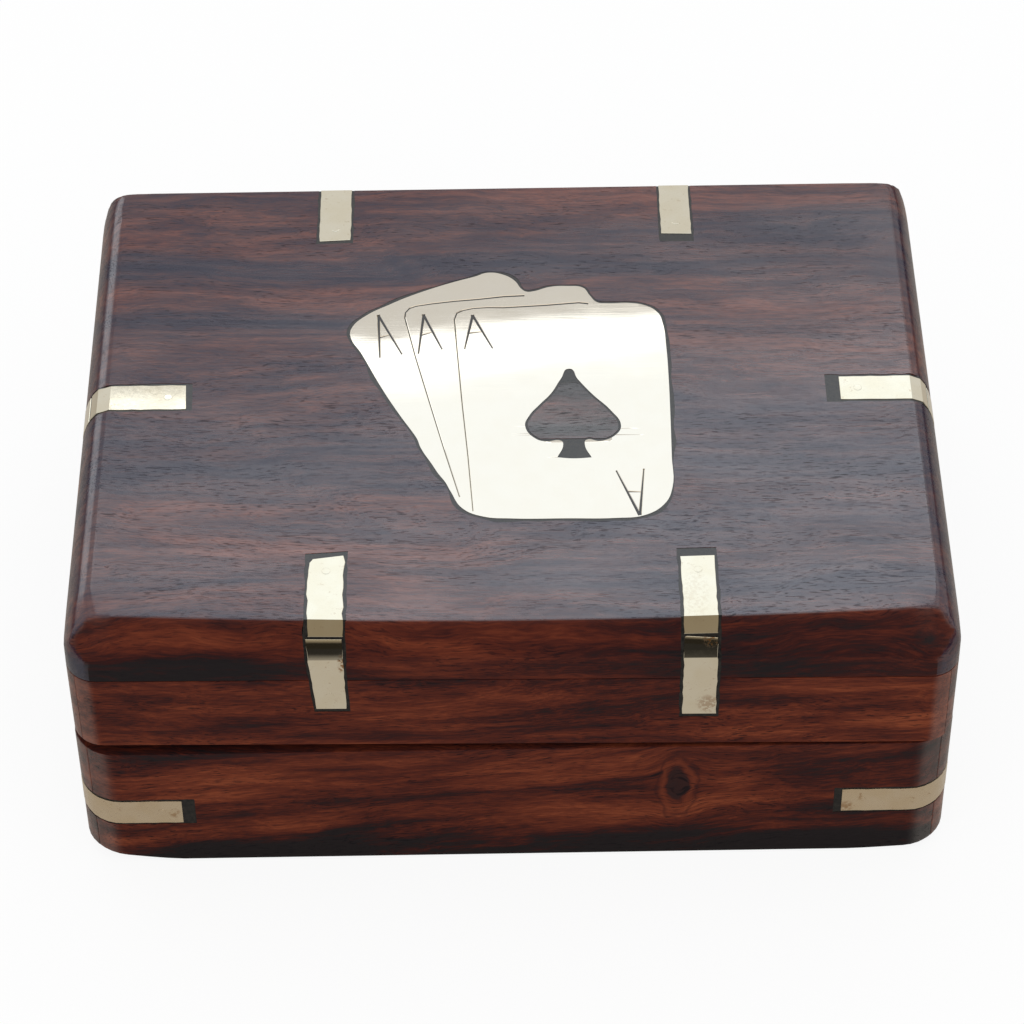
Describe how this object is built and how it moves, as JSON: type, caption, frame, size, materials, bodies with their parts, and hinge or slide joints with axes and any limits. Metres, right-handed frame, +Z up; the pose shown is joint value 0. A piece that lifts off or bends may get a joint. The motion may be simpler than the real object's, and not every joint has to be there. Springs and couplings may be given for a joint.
{
  "type": "playing card box",
  "caption": "Low rosewood box for two decks of cards: bevelled hinged lid, let-in brass straps and a brass fan of aces, felt-lined wells inside.",
  "frame": {"origin": "centre of the underside of the wooden case", "axes": "+X to the right seen from the front, +Y towards the hinges at the back, +Z up"},
  "size_m": [0.152, 0.1176, 0.0585],
  "materials": {
    "rosewood": "polished rosewood, dark streaks",
    "brass": "pale brushed brass",
    "dark_filler": "dark set filler",
    "felt": "dark red felt"
  },
  "bodies": {
    "base": {"base_front_wall": "rosewood", "base_back_wall": "rosewood", "base_left_wall": "rosewood", "base_right_wall": "rosewood", "base_floor": "rosewood", "card_divider": "rosewood", "front_left_corner_strap": "brass", "front_right_corner_strap": "brass", "back_left_corner_strap": "brass", "back_right_corner_strap": "brass", "base_strap_pins": "brass", "base_inlay_filler": "dark_filler", "left_well_felt": "felt", "right_well_felt": "felt", "hinge_left_base_leaf": "brass", "hinge_right_base_leaf": "brass", "hinge_left_pin": "brass", "hinge_right_pin": "brass", "hinge_screws_base": "brass"},
    "lid": {"lid_top_board": "rosewood", "lid_front_rail": "rosewood", "lid_back_rail": "rosewood", "lid_left_rail": "rosewood", "lid_right_rail": "rosewood", "card_fan_plate": "brass", "spade_insert": "rosewood", "front_left_strap_top_leg": "brass", "front_left_strap_side_leg": "brass", "front_right_strap_top_leg": "brass", "front_right_strap_side_leg": "brass", "right_strap_top_leg": "brass", "right_strap_side_leg": "brass", "back_right_strap_top_leg": "brass", "back_right_strap_side_leg": "brass", "back_left_strap_top_leg": "brass", "back_left_strap_side_leg": "brass", "left_strap_top_leg": "brass", "left_strap_side_leg": "brass", "lid_strap_pins": "brass", "lid_inlay_filler": "dark_filler", "lid_felt": "felt", "hinge_left_lid_leaf": "brass", "hinge_right_lid_leaf": "brass", "hinge_screws_lid": "brass"}
  },
  "joints": [
    {"name": "lid_hinge", "type": "hinge", "parent": "base", "child": "lid", "pos_m": [0, 0.0575, 0.02935], "axis": [-1, 0, 0], "range_deg": [0, 100]}
  ]
}
